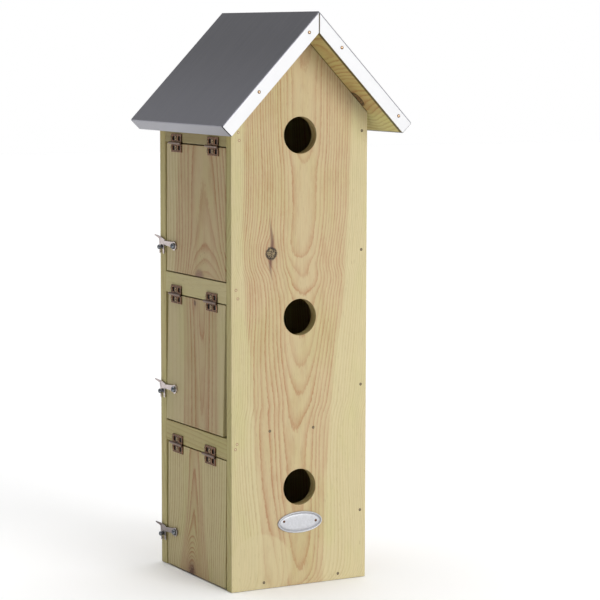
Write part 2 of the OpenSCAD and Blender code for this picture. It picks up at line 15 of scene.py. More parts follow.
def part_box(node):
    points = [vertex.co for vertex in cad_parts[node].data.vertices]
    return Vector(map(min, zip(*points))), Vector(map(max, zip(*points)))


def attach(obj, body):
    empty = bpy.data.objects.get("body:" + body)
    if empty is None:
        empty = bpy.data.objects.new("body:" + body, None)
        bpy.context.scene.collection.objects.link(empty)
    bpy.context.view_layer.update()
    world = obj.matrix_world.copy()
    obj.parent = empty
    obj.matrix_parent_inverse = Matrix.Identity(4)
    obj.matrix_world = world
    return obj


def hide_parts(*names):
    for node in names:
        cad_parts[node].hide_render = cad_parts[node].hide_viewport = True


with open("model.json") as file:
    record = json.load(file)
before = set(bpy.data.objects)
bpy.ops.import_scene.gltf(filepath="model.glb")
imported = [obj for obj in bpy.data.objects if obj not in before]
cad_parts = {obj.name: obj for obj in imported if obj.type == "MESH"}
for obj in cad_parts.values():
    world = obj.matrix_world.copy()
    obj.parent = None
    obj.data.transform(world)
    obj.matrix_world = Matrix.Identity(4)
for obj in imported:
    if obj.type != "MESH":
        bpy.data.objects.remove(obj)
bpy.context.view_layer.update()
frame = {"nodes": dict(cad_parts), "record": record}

MM = 0.001
WELD = 1e-6
HAIR = 2e-5
FLAT = math.radians(0.6)
CREASE = math.radians(50)
STOREYS = ("bottom", "middle", "top")

BODY_OF = {node: body for body, nodes in frame["record"]["behaviour"]["bodies"].items() for node in nodes}


# Colours

def srgb(red, green, blue):
    """A colour as it is read from a picture, 0 to 255, in the linear form that shaders take."""
    def linear(value):
        part = value / 255
        return part / 12.92 if part <= 0.04045 else ((part + 0.055) / 1.055) ** 2.4
    return (linear(red), linear(green), linear(blue), 1.0)


def seen(red, green, blue):
    """A surface colour that shows as this one under the front's light."""
    return tuple(channel / FRONT_LIGHT for channel in srgb(red, green, blue)[:3]) + (1.0,)


FRONT_LIGHT = 1.3
EARLY = seen(202, 182, 141)
LATE = seen(179, 137, 99)
SAP_EARLY = seen(210, 196, 153)
SAP_LATE = seen(188, 166, 120)
GREEN_CAST = (0.94, 1.0, 0.86, 1)
EDGE_TONE = (0.90, 0.90, 0.72, 1)
UNDER_ROOF = (1.12, 1.17, 0.86, 1)
BARK = seen(48, 38, 32)
KNOT_HEART = seen(150, 134, 98)
KNOT_SOFT = seen(158, 128, 110)
KNOT_DARK = seen(94, 62, 50)
KNOT_RED = seen(136, 90, 66)
HALO = seen(158, 112, 88)
RESIN = seen(134, 100, 80)
DARK_RESIN = seen(104, 66, 56)

COPPER = srgb(112, 80, 50)
COPPER_WORN_AND_HIGHLIGHT = srgb(214, 190, 160)
RUST = seen(96, 80, 56)
RUST_PALE = seen(170, 140, 104)
NAIL = seen(140, 124, 98)
NAIL_BRIGHT = seen(218, 204, 168)
# Dark grime crumbs, and also the painted shade lines on the roof boards.
DIRT_AND_SHADE = seen(74, 66, 36)
# Painted shade in the band beside each open eave corner.
CORNER_SHADE = srgb(34, 34, 38)
PLATE = srgb(178, 179, 183)
ZINC = srgb(198, 186, 184)
# Painted shade: a darker copy of the zinc, for the bottom latch.
ZINC_SHADED = srgb(132, 122, 120)
SCREW = srgb(126, 130, 137)
BRONZE = srgb(86, 62, 43)
BRONZE_WORN = srgb(222, 166, 128)
KNUCKLE = srgb(124, 106, 96)
PATINA = srgb(26, 18, 12)
BRASS = srgb(88, 74, 52)
BRASS_WORN = srgb(182, 160, 122)
GALVANISED = srgb(168, 170, 174)
GALVANISED_WORN = srgb(214, 216, 220)
ZINC_WORN = srgb(232, 226, 226)
ZINC_SHADED_WORN = srgb(210, 206, 206)
DARK_PIN = srgb(92, 66, 52)
ROOF_LOW = srgb(138, 138, 146)
ROOF_HIGH = srgb(115, 115, 121)
ROOF_STRIP_LIT = srgb(209, 209, 210)
ROLL_MARK = srgb(176, 177, 182)
FLOOR_DARK = (0.92, 0.92, 0.92, 1)
FLOOR_LIGHT = (0.94, 0.94, 0.94, 1)


# Node trees

class Graph:
    """A short way to write the nodes of one material."""

    MIX_FIRST, MIX_SECOND, MIX_COLOUR = 6, 7, 2

    def __init__(self, name):
        self.material = bpy.data.materials.new(name)
        self.material.use_nodes = True
        self.tree = self.material.node_tree
        self.tree.nodes.clear()
        self.shader = self.add("ShaderNodeBsdfPrincipled")
        output = self.add("ShaderNodeOutputMaterial")
        self.tree.links.new(self.shader.outputs["BSDF"], output.inputs["Surface"])

    def add(self, kind, **settings):
        node = self.tree.nodes.new(kind)
        for key, value in settings.items():
            setattr(node, key, value)
        return node

    def feed(self, socket, value):
        if isinstance(value, bpy.types.NodeSocket):
            self.tree.links.new(value, socket)
        else:
            socket.default_value = value

    def set(self, name, value):
        self.feed(self.shader.inputs[name], value)

    def math(self, operation, *values, clamp=False):
        node = self.add("ShaderNodeMath", operation=operation, use_clamp=clamp)
        for socket, value in zip(node.inputs, values):
            self.feed(socket, value)
        return node.outputs[0]

    def sum(self, first, second):
        return self.math("ADD", first, second)

    def less(self, first, second):
        return self.math("SUBTRACT", first, second)

    def times(self, first, second):
        return self.math("MULTIPLY", first, second)

    def size(self, value):
        return self.math("ABSOLUTE", value)

    def scaled(self, value, factor, offset):
        return self.math("MULTIPLY_ADD", value, factor, offset)

    def spread(self, noise, reach):
        """Noise from 0 to 1 laid out from -reach to reach."""
        return self.scaled(noise, 2 * reach, -reach)

    def smooth(self, value, low, high, start=0.0, end=1.0):
        """start below low, end above high, and a soft step between."""
        node = self.add("ShaderNodeMapRange", interpolation_type="SMOOTHSTEP")
        for socket, number in zip(node.inputs, (value, low, high, start, end)):
            self.feed(socket, number)
        return node.outputs[0]

    def place(self):
        """The surface's own place in millimetres, as three values."""
        coordinates = self.add("ShaderNodeTexCoord").outputs["Object"]
        node = self.add("ShaderNodeVectorMath", operation="SCALE")
        self.feed(node.inputs[0], coordinates)
        node.inputs["Scale"].default_value = 1 / MM
        split = self.add("ShaderNodeSeparateXYZ")
        self.feed(split.inputs[0], node.outputs[0])
        return split.outputs

    def vector(self, *parts):
        node = self.add("ShaderNodeCombineXYZ")
        for socket, value in zip(node.inputs, parts):
            self.feed(socket, value)
        return node.outputs[0]

    def stretched(self, parts, lengths):
        """Place divided by the length of a feature along each axis."""
        return self.vector(*(self.math("DIVIDE", p, length) for p, length in zip(parts, lengths)))

    def noise(self, vector, detail=2.0, roughness=0.5):
        node = self.add("ShaderNodeTexNoise", noise_dimensions="3D")
        self.feed(node.inputs["Vector"], vector)
        node.inputs["Scale"].default_value = 1.0
        node.inputs["Detail"].default_value = detail
        node.inputs["Roughness"].default_value = roughness
        return node.outputs["Fac"]

    def random(self, value):
        node = self.add("ShaderNodeTexWhiteNoise", noise_dimensions="1D")
        self.feed(node.inputs["W"], value)
        return node.outputs["Value"]

    def curve(self, value, points):
        """Read a number off a smooth line through (place, number) points."""
        places = [place for place, number in points]
        numbers = [number for place, number in points]
        low, high = min(places), max(places)
        base, top = min(numbers), max(numbers)
        if top == base:
            return base
        node = self.add("ShaderNodeFloatCurve")
        line = node.mapping.curves[0]
        node.mapping.extend = "EXTRAPOLATED"
        node.mapping.use_clip = False
        while len(line.points) < len(points):
            line.points.new(0.5, 0.5)
        for point, (place, number) in zip(line.points, points):
            point.location = ((place - low) / (high - low), (number - base) / (top - base))
            point.handle_type = "AUTO_CLAMPED"
        node.mapping.update()
        self.feed(node.inputs["Value"], self.math("DIVIDE", self.less(value, low), high - low))
        return self.scaled(node.outputs[0], top - base, base)

    def mix(self, share, first, second, kind="MIX"):
        node = self.add("ShaderNodeMix", data_type="RGBA", blend_type=kind)
        self.feed(node.inputs["Factor"], share)
        self.feed(node.inputs[self.MIX_FIRST], first)
        self.feed(node.inputs[self.MIX_SECOND], second)
        return node.outputs[self.MIX_COLOUR]

    def bump(self, height, strength, distance):
        node = self.add("ShaderNodeBump")
        self.feed(node.inputs["Height"], height)
        node.inputs["Strength"].default_value = strength
        node.inputs["Distance"].default_value = distance
        self.set("Normal", node.outputs[0])


# Wood

FRONT_FACE = -70.5
LEFT_FACE = -67.0
STRIP_FOOT = -101.0
WALL_LINE = -71.1


def turns(*places, falling):
    """Number the tips along a board; falling tips point down it."""
    count = len(places)
    order = range(count, 0, -1) if falling else range(1, count + 1)
    return tuple(zip(places, order))


def knot(across, along, size, reach, push, ring=1.0, tint=KNOT_HEART, soft=0.0, tail=(0, 0)):
    """One knot: its place, its half sizes, how far it bends the grain, and how far its tails run up and down.

    ring is how dark its bark is, and soft how much its edge runs out into the wood.
    """
    return dict(across=across, along=along, size=size, reach=reach, push=push, ring=ring, tint=tint,
                soft=soft, tail=tail)


def shade_line(along, width, only_at_wall):
    """A line of painted shade across a roof board, along the whole edge or only where the wall meets the
    board.
    """
    return dict(along=along, width=width, only_at_wall=only_at_wall)


# Lengths of features across, through and along a board
DRIFT_LENGTHS = (70, 40, 130)
SWAY_LENGTHS = (16, 30, 90)
RAGGED_LENGTHS = (0.9, 0.9, 4.0)
FAINT_LENGTHS = (9, 9, 60)
BLUSH_LENGTHS = (7, 7, 34)
CAST_LENGTHS = (26, 20, 70)
FIBRE_LENGTHS = (0.45, 0.45, 16)
DUCT_LENGTHS = (0.7, 0.7, 7)
CRUMB_LENGTHS = (1.1, 1.1, 1.6)
MOTTLE_LENGTHS = (1.5,) * 3
SWIRL_LENGTHS = (1.3,) * 3

# Soft steps: where they start and end, and the shares before and after
LATE_SLOW = (0.34, 0.80, 0.0, 0.5)
LATE_PEAK = (0.72, 0.88, 0.0, 0.5)
LATE_END = (0.88, 1.0, 1.0, 0.0)
FAINT_STEP = (0.2, 0.75, 0.6, 1.15)
BLUSH_STEP = (0.45, 0.75, 0.0, 0.3)
CAST_STEP = (0.4, 0.75, 0.0, 0.7)
FIBRE_STEP = (0.25, 0.75, 0.94, 1.05)
DUCT_STEP = (0.74, 0.82, 0.0, 0.25)
CRUMB_STEP = (0.60, 0.68, 0.0, 0.55)
CRUMB_EDGE = (0.6, 1.1, 1.0, 0.0)
PATCH_EDGE = (0.94, 1.04, 0.55, 0.0)
RIM_INNER = (0.66, 0.84, 0.0, 1.0)
RIM_OUTER = (0.94, 1.2, 1.0, 0.0)
HEART_STEP = (0.3, 0.7, 0.95, 0.6)
TAIL_FADE = (0.15, 1.0, 1.0, 0.0)
EDGE_STEP = (0.5, 1.0, 0.0, 1.0)

DRIFT = 2.0
SWAY = 1.5
ZONE_BLUR = 2.5
RAGGED = 0.21
RINGS_PER_DEPTH = 0.16
SHADE_LINE_SHARE = 0.8
TAIL_SHARE = 0.9

FLAT_SAWN = ((-75, 17.0), (-18, 2.0), (-7, 0.35), (0, 0.0), (7, 0.35), (18, 2.0), (75, 17.0))
HALF_HELD = ((-75, 0.6), (0, 1.0), (75, 0.6))
NO_HEARTWOOD = ((-200, 900, 901), (500, 900, 901))
ALL_HEARTWOOD = ((-200, -900, 900), (500, -900, 900))

GRAIN = {
    "front_panel": dict(
        axes="XYZ", face=FRONT_FACE, pivot=4.0, edge=EDGE_TONE,
        bold=((-70, 1.45), (-20, 1.3), (-8, 1.0), (70, 1.05)),
        # fade and foot are painted light: the front is made lighter towards its right and near its foot.
        fade=((-70, 0.945), (-30, 0.965), (0, 0.99), (70, 1.02)), foot=((0, 1.05), (90, 1.0), (300, 1.0)),
        centre=((0, -6), (22, 1), (60, -1), (131, -4), (163, 0), (213, 2), (267, 4), (288, 0), (312, 2),
                (348, 4), (484, 3)),
        across=((-75, 24), (-48, 10), (-19, 2.4), (-14, 1.15), (-7, 0.3), (0, 0), (7, 0.3), (14, 1.15),
                (19, 2.4), (34, 7), (48, 12), (66, 20.5)),
        tips=((0, 9.6), (9, 9), (48, 8), (75, 7.5), (131, 7), (163, 6), (188, 5), (213, 4), (254, 3),
              (267, 2), (288, 1), (292, 0.62), (297, 0.36), (304, 0.16), (316, 0.1), (348, 0.05),
              (366, 0), (372, -0.2), (385, -0.6), (410, -0.9), (440, -1.0), (454, -1.2), (484, -1.8)),
        hold=((-70, 0.15), (-42, 0.35), (-12, 1), (12, 1), (36, 0.75), (60, 0.45)),
        zone=((0, -38, 24), (80, -40, 26), (118, -43.5, 28), (206, -48, 36), (229, -52, 40),
              (250, -54, 43), (311, -55.5, 46), (400, -55.3, 50.3), (484, -55, 52)),
        knots=[knot(-28.3, 294.0, size=(5.3, 5.3), reach=(10, 15), push=0.9, tail=(42, 30))],
        patches=[dict(across=-39.0, along=20.0, size=(31, 29))],
    ),
    "top_door": dict(
        axes="YXZ", face=LEFT_FACE, pivot=2.0,
        centre=((270, -22), (300, -21), (357, -17), (386, -15)),
        across=((-75, 9.5), (-42, 4), (-30, 2), (-20, 0.85), (-10, 0.25), (0, 0), (10, 0.25), (20, 0.85),
                (30, 1.9), (60, 6.6), (90, 11.5)),
        tips=((268, -2.4), (278, -1), (289, 0), (304, 1), (374, 2), (440, 2.9)),
        hold=((-60, 0.7), (-15, 1), (15, 1), (40, 0.45), (75, 0.3)),
        zone=((270, -90, 40), (386, -90, 31)), sap_lines=0.8, tone=(0.95, 0.93, 0.90, 1), bold=1.35,
        specks=[dict(across=-18.0, along=287.0, size=(11, 8))],
        knots=[knot(-9.0, 270.0, size=(8.5, 6.5), reach=(12, 9), push=0.3, ring=0.15, tint=KNOT_SOFT,
                    soft=0.7)],
    ),
    "middle_door": dict(
        axes="YXZ", face=LEFT_FACE, pivot=1.0,
        centre=((134, -14), (207, -14), (251, -13)),
        across=((-60, 9), (-31, 4.2), (-20, 2.6), (-8, 0.9), (0, 0), (8, 0.9), (20, 2.4), (36, 4.6),
                (70, 9)),
        tips=((134, 1.9), (207, 1), (230, 0.45), (251, 0.1)),
        hold=((-50, 0), (-14, 0.25), (-7, 0.8), (0, 1), (7, 0.8), (14, 0.25), (50, 0)),
        zone=((134, -45, 23), (251, -44, 22)), sap_lines=0.3, tone=(0.89, 0.87, 0.84, 1), bold=1.35,
        knots=[knot(0.0, 246.0, size=(1.5, 1.4), reach=(6, 9), push=0.5, ring=0.5, tint=KNOT_SOFT, soft=0.3,
                    tail=(5, 4))],
    ),
    "bottom_door": dict(
        axes="YXZ", face=LEFT_FACE, pivot=7.0,
        centre=((0, 8), (35, 6), (60, 3), (99, 2), (115, 2)),
        across=((-60, 14), (-20, 4.4), (-11, 1.3), (-5, 0.35), (0, 0), (5, 0.35), (11, 1.3), (20, 4),
                (55, 12)),
        tips=((4, -1), (10, 0), (15, 1), (18.5, 2), (22.5, 3), (26.5, 4), (32, 5), (38.5, 6), (64, 7),
              (107, 8), (130, 8.5)),
        hold=((-50, 0.05), (-20, 0.3), (-8, 0.85), (0, 1), (8, 0.85), (20, 0.3), (50, 0.05)),
        zone=((0, -28, 32), (58, -17, 19), (112, -11, 12)),
        sap_lines=1.2, tone=(0.97, 0.97, 0.91, 1), bold=1.8,
        knots=[knot(7.5, 2.0, size=(7.0, 10.0), reach=(17, 17), push=0.1, ring=0.0, tint=KNOT_DARK,
                    soft=1.0)],
    ),
    # The top rail's dark tone is partly its own colour and partly painted shade from the eave above it.
    "top_rail": dict(
        axes="ZXY", face=LEFT_FACE, centre=((-60, 380), (60, 384)), tips=((-60, 0), (60, 0.4)),
        zone=NO_HEARTWOOD, sap_lines=0.5, tone=(0.61, 0.585, 0.50, 1),
    ),
    "upper_rail": dict(
        axes="ZXY", face=LEFT_FACE, centre=((-60, 246), (60, 240)), tips=((-60, 0), (60, 0.5)),
        zone=NO_HEARTWOOD, sap_lines=0.25, tone=(0.92, 0.92, 0.83, 1),
    ),
    "lower_rail": dict(
        axes="ZXY", face=LEFT_FACE, centre=((-60, 92), (60, 96)), tips=((-60, 0.5), (60, 0)),
        zone=NO_HEARTWOOD, sap_lines=1.0, tone=(0.81, 0.80, 0.63, 1),
    ),
    "back_panel": dict(
        axes="XYZ", face=70.5, edge=EDGE_TONE, centre=((0, -12), (200, -6), (484, -14)),
        tips=turns(30, 118, 205, 268, 330, 401, 470, falling=False), zone=((0, -50, 40), (484, -44, 52)),
        knots=[knot(22.0, 168.0, size=(7.0, 6.4), reach=(10, 16), push=0.8, tail=(14, 22))],
    ),
    "right_side_panel": dict(
        axes="YXZ", face=67.0, edge=EDGE_TONE, centre=((0, 9), (200, 4), (414, 12)),
        tips=turns(22, 66, 121, 190, 231, 262, 330, 398, falling=True), zone=((0, -44, 50), (414, -52, 46)),
        knots=[knot(-21.0, 96.0, size=(5.0, 4.6), reach=(8, 13), push=0.8, tail=(18, 9))],
    ),
    "left_roof_board": dict(
        axes="ZXY", face=-20.0, tone=UNDER_ROOF, centre=((-103, 440), (79, 444)),
        tips=turns(-150, -40, 20, 150, falling=True), zone=ALL_HEARTWOOD,
        # Painted shade: dark lines where the board meets the folded strip's lower edge and the wall.
        shade_lines=[shade_line(STRIP_FOOT, 3.2, False), shade_line(WALL_LINE, 0.8, True)],
    ),
    "right_roof_board": dict(
        axes="ZXY", face=20.0, tone=UNDER_ROOF, centre=((-103, 478), (-84, 474), (-60, 470), (79, 474)),
        across=((-110, 17), (-60, 8.5), (-30, 3.8), (-14, 1.6), (-5, 0.4), (0, 0), (5, 0.4), (14, 1.6)),
        tips=turns(-260, -60, 30, 150, falling=True), zone=((-110, 414, 600), (79, 414, 600)),
        bold=1.35, sap_lines=1.5,
        # Painted shade: dark lines where the board meets the folded strip's lower edge and the wall.
        shade_lines=[shade_line(STRIP_FOOT, 3.2, False), shade_line(WALL_LINE, 0.9, True)],
        knots=[knot(426.0, -73.4, size=(5.5, 6.0), reach=(18, 20), push=0.95, tint=KNOT_RED, soft=0.7)],
    ),
    "bottom_floor": dict(
        axes="XZY", face=11.0, centre=((-60, 10), (60, 6)), tips=turns(-90, -20, 40, 90, falling=True),
        zone=ALL_HEARTWOOD,
    ),
    "middle_floor": dict(
        axes="XZY", face=140.0, centre=((-60, -14), (60, -10)), tips=turns(-90, -30, 24, 90, falling=False),
        zone=ALL_HEARTWOOD,
    ),
    "upper_floor": dict(
        axes="XZY", face=275.0, centre=((-60, 4), (60, 9)), tips=turns(-90, -10, 52, 90, falling=True),
        zone=ALL_HEARTWOOD,
    ),
}


def round_distance(g, da, dl, size):
    """Distance from a spot, 1 at the edge of an oval of this size."""
    flat_a = g.math("POWER", g.size(g.math("DIVIDE", da, size[0])), 2.0)
    flat_l = g.math("POWER", g.size(g.math("DIVIDE", dl, size[1])), 2.0)
    return g.math("SQRT", g.sum(flat_a, flat_l))


def spot_distance(g, own, spot):
    """Round distance from a spot on a board, 1 at its edge."""
    return round_distance(g, g.less(own[0], spot["across"]), g.less(own[2], spot["along"]), spot["size"])


class Mark:
    """What the wood knows of a knot: offsets from its middle, nearness, and round distance."""

    def __init__(self, g, own, row):
        self.row = row
        self.da = g.less(own[0], row["across"])
        self.dl = g.less(own[2], row["along"])
        far = round_distance(g, self.da, self.dl, row["reach"])
        self.near = g.math("EXPONENT", g.times(g.times(far, far), -1.0))
        self.distance = round_distance(g, self.da, self.dl, row["size"])


def knot_tail(g, mark):
    """Dark streak that runs out of a knot along the grain, by its own length up and down."""
    up, down = mark.row["tail"]
    if not up and not down:
        return 0.0
    length = g.scaled(g.math("GREATER_THAN", mark.dl, 0.0), up - down, down)
    fade = g.smooth(g.math("DIVIDE", g.size(mark.dl), length), *TAIL_FADE)
    sway = g.times(g.math("SINE", g.times(mark.dl, 0.16)), 0.9)
    half = g.scaled(fade, 2.2, 0.7)
    thin = g.smooth(g.size(g.less(mark.da, sway)), 0.0, half, 1.0, 0.0)
    return g.times(fade, thin)


def with_knot(g, colour, own, mark):
    """Paint one knot over the wood's colour: halo, tails, heart, ring of bark and cracks."""
    soft, ring = mark.row["soft"], mark.row["ring"]
    mottle = g.noise(g.stretched(own, MOTTLE_LENGTHS), detail=3.0)
    edge = g.sum(mark.distance, g.spread(mottle, 0.4))
    inside = g.smooth(edge, 0.8 - 0.6 * soft, 1.05 + 0.25 * soft, 1.0, 0.0)
    colour = g.mix(g.times(g.math("POWER", mark.near, 2.0), 0.4 + 0.3 * soft), colour, HALO)
    colour = g.mix(g.times(knot_tail(g, mark), TAIL_SHARE), colour, DARK_RESIN)
    colour = g.mix(g.times(inside, g.smooth(mottle, *HEART_STEP)), colour, mark.row["tint"])
    rim = g.times(g.smooth(edge, *RIM_INNER), g.smooth(edge, *RIM_OUTER))
    colour = g.mix(g.times(rim, g.smooth(mottle, 0.25, 0.6, 0.35 * ring, ring)), colour, BARK)
    swirl = g.noise(g.stretched(own, SWIRL_LENGTHS), detail=2.0)
    crack = g.smooth(g.size(g.less(swirl, 0.5)), 0.03, 0.09, 0.95 * ring, 0.0)
    return g.mix(g.times(inside, crack), colour, BARK)


def growth_rings(g, u, along, depth, across, tips, hold, pivot):
    """Number of the growth ring at each place; a whole number is the end of a year."""
    turned = g.less(g.curve(along, tips), pivot)
    rings = g.scaled(turned, g.curve(u, hold), pivot)
    rings = g.sum(rings, g.curve(u, across))
    rings = g.scaled(depth, RINGS_PER_DEPTH, rings)
    uneven = g.noise(g.vector(g.times(rings, 0.8), 3.1, 0.0), detail=1.0)
    return g.sum(rings, g.scaled(uneven, 0.4, -0.08))


def late_wood(g, own, rings, bold):
    """Share of dark late wood: it comes on slowly through a year and ends sharply, with a ragged edge.

    bold is how much stronger than usual it shows.
    """
    ragged = g.noise(g.stretched(own, RAGGED_LENGTHS), detail=3.0, roughness=0.6)
    part = g.math("FRACT", g.sum(rings, g.spread(ragged, RAGGED)))
    line = g.sum(g.smooth(part, *LATE_SLOW), g.smooth(part, *LATE_PEAK))
    line = g.times(line, g.smooth(part, *LATE_END))
    year = g.random(g.math("FLOOR", rings))
    strength = g.times(g.scaled(year, 0.5, 0.5), bold)
    faint = g.noise(g.stretched(own, FAINT_LENGTHS), detail=2.0)
    strength = g.times(strength, g.smooth(faint, *FAINT_STEP))
    return g.math("MULTIPLY", line, strength, clamp=True)


def sapwood_share(g, place, along, zone):
    """Pale wood outside the heart zone, which zone gives as (along, lowest, highest) rows."""
    low = g.curve(along, tuple((row[0], row[1]) for row in zone))
    high = g.curve(along, tuple((row[0], row[2]) for row in zone))
    below = g.smooth(g.less(low, place), -ZONE_BLUR, ZONE_BLUR)
    above = g.smooth(g.less(place, high), -ZONE_BLUR, ZONE_BLUR)
    return g.math("MAXIMUM", below, above)


def bent_place(g, own):
    """Place across the board with the slow bends that all its lines share."""
    drift = g.noise(g.stretched(own, DRIFT_LENGTHS), detail=1.0)
    sway = g.noise(g.stretched(own, SWAY_LENGTHS), detail=2.0)
    return g.sum(g.sum(own[0], g.spread(drift, DRIFT)), g.spread(sway, SWAY))


def wood_colour(g, own, line, sapwood, sap_lines):
    """Early and late wood of the heart and the sap, with reddish streaks and a green cast in places."""
    shown = g.math("MULTIPLY", line, g.scaled(sapwood, sap_lines - 1.0, 1.0), clamp=True)
    colour = g.mix(shown, g.mix(sapwood, EARLY, SAP_EARLY), g.mix(sapwood, LATE, SAP_LATE))
    blush = g.noise(g.stretched(own, BLUSH_LENGTHS), detail=3.0, roughness=0.6)
    flush = g.times(g.smooth(blush, *BLUSH_STEP), g.less(1.0, sapwood))
    colour = g.mix(flush, colour, LATE)
    cast = g.noise(g.stretched(own, CAST_LENGTHS), detail=2.0)
    return g.mix(g.smooth(cast, *CAST_STEP), colour, GREEN_CAST, "MULTIPLY")


def with_spots(g, colour, own, patches, specks):
    """Pale round patches, and places with crumbs of grime."""
    for patch in patches:
        colour = g.mix(g.smooth(spot_distance(g, own, patch), *PATCH_EDGE), colour, SAP_EARLY)
    for spot in specks:
        crumbs = g.smooth(g.noise(g.stretched(own, CRUMB_LENGTHS), detail=2.0), *CRUMB_STEP)
        inside = g.smooth(spot_distance(g, own, spot), *CRUMB_EDGE)
        colour = g.mix(g.times(crumbs, inside), colour, DIRT_AND_SHADE)
    return colour


def with_fibres(g, colour, own, fibres, fade, foot):
    """Fine light and dark fibres, painted light that makes the board lighter from side to side and near its
    foot, and resin ducts.
    """
    light = g.smooth(fibres, *FIBRE_STEP)
    if fade:
        light = g.times(light, g.curve(own[0], fade))
    if foot:
        light = g.times(light, g.curve(own[2], foot))
    grey = g.add("ShaderNodeCombineColor")
    for socket in grey.inputs:
        g.feed(socket, light)
    colour = g.mix(1.0, colour, grey.outputs[0], "MULTIPLY")
    ducts = g.noise(g.stretched(own, DUCT_LENGTHS), detail=0.0)
    return g.mix(g.smooth(ducts, *DUCT_STEP), colour, RESIN)


def with_shade_lines(g, colour, own, shade_lines):
    """Painted shade: dark lines where a roof board meets the sheet's edge and the wall."""
    for row in shade_lines:
        away = g.size(g.less(own[2], row["along"]))
        if row["only_at_wall"]:
            away = g.sum(away, g.smooth(g.size(own[1]), -LEFT_FACE - 1, -LEFT_FACE + 1, 0.0, 9.0))
        width = row["width"]
        colour = g.mix(g.smooth(away, width * 0.6, width, SHADE_LINE_SHARE, 0.0), colour, DIRT_AND_SHADE)
    return colour


def pine(name, axes, face, centre, tips, zone, across=FLAT_SAWN, hold=HALF_HELD, pivot=3.0, edge=None,
         tone=None, sap_lines=0.7, bold=1.0, shade_lines=(), knots=(), patches=(), specks=(), fade=(), foot=()):
    """Flat-sawn pine with its own grain.

    axes gives the object's axes across, through and along the board, and face its outside. centre is
    where the arches turn, across the ring numbers beside it, tips the ring that turns at each place
    along, and hold how much of its distance from pivot lasts to the sides. bold is how strong the lines
    are, as one number or from side to side, and sap_lines how much of them shows in the sapwood. fade
    and foot are painted light that makes the board lighter from side to side and near its foot; tone
    and edge are tints of the whole and of all but its face.
    """
    g = Graph(name)
    parts = dict(zip("XYZ", g.place()))
    own = tuple(parts[axis] for axis in axes)
    place, through, along = own
    bent = bent_place(g, own)
    u = g.less(bent, g.curve(along, centre))
    marks = [Mark(g, own, row) for row in knots]
    for mark in marks:
        u = g.less(u, g.times(g.times(mark.da, mark.near), mark.row["push"]))

    depth = g.size(g.less(through, face))
    rings = growth_rings(g, u, along, depth, across, tips, hold, pivot)
    line = late_wood(g, own, rings, g.curve(place, bold) if isinstance(bold, tuple) else bold)
    fibres = g.noise(g.stretched(own, FIBRE_LENGTHS), detail=3.0, roughness=0.6)

    colour = wood_colour(g, own, line, sapwood_share(g, bent, along, zone), sap_lines)
    colour = with_spots(g, colour, own, patches, specks)
    colour = with_fibres(g, colour, own, fibres, fade, foot)
    for mark in marks:
        colour = with_knot(g, colour, own, mark)
    if edge:
        colour = g.mix(g.smooth(depth, *EDGE_STEP), colour, edge, "MULTIPLY")
    if tone:
        colour = g.mix(1.0, colour, tone, "MULTIPLY")
    colour = with_shade_lines(g, colour, own, shade_lines)

    g.set("Base Color", colour)
    g.set("Roughness", g.scaled(fibres, 0.16, 0.56))
    g.set("Specular IOR Level", 0.3)
    g.bump(g.sum(g.times(fibres, 0.6), g.times(line, 0.4)), 0.22, 0.15 * MM)
    return g.material


# Metals

SPECK_LENGTHS = (0.5,) * 3
RUST_LENGTHS = (0.4,) * 3
ROLL_LENGTHS = (40, 1.4, 40)
WEAR_STEP = (0.35, 0.62, 0.3, 1.0)
RUST_STEP = (0.3, 0.6, 0.6, 1.0)
BRIGHT_SPECKS = (0.56, 0.70, 0.0, 0.6)
DARK_SPECKS = (0.30, 0.44, 0.55, 0.0)
KNUCKLE_HEIGHT = (1.25, 1.6)
RECESS_HEIGHT = (0.35, 0.8, 1.0, 0.0)
BRIGHT_NAILS_END = (-56, -50)
ROOF_SHADING = (400, 480)
ROLL_STEP = (0.35, 0.7, 0.0, 0.10)


def attribute(g, name):
    """A value that the mesh's faces carry."""
    return g.add("ShaderNodeAttribute", attribute_name=name).outputs["Fac"]


def with_patina(g, tone, own, speck, worn, hide):
    """Speckled plating that is worn on the knuckles and dark in what is pressed into the leaves."""
    height = g.less(LEFT_FACE, own[0])
    tone = g.mix(g.smooth(speck, *BRIGHT_SPECKS), tone, worn)
    tone = g.mix(g.smooth(speck, *DARK_SPECKS), tone, hide)
    tone = g.mix(g.smooth(height, *KNUCKLE_HEIGHT), tone, KNUCKLE)
    return g.mix(g.smooth(height, *RECESS_HEIGHT), tone, hide)


def metal(name, colour, roughness, worn=None, patch=6.0, spread=0.12, dent=0.1, metallic=1.0, hide=None):
    """Plated or bare metal with cloudy patches and fine specks.

    worn is the colour on its rubbed edges, patch the length of its clouds, spread how much they differ,
    and hide the dark colour that stays in the recesses of the hinges.
    """
    g = Graph(name)
    own = g.place()
    cloud = g.noise(g.stretched(own, (patch,) * 3), detail=3.0)
    speck = g.noise(g.stretched(own, SPECK_LENGTHS), detail=2.0)
    dark = tuple(channel * (1 - 2 * spread) for channel in colour[:3]) + (1.0,)
    light = tuple(min(1.0, channel * (1 + spread)) for channel in colour[:3]) + (1.0,)
    tone = g.mix(g.smooth(cloud, 0.3, 0.7), dark, light)
    if worn:
        tone = g.mix(g.times(attribute(g, "wear"), g.smooth(speck, *WEAR_STEP)), tone, worn)
    if hide:
        tone = with_patina(g, tone, own, speck, worn, hide)
    g.set("Base Color", tone)
    g.set("Metallic", metallic)
    g.set("Roughness", g.scaled(cloud, 0.12, roughness - 0.06))
    g.bump(g.sum(cloud, g.times(speck, 0.3)), dent, 0.2 * MM)
    return g.material


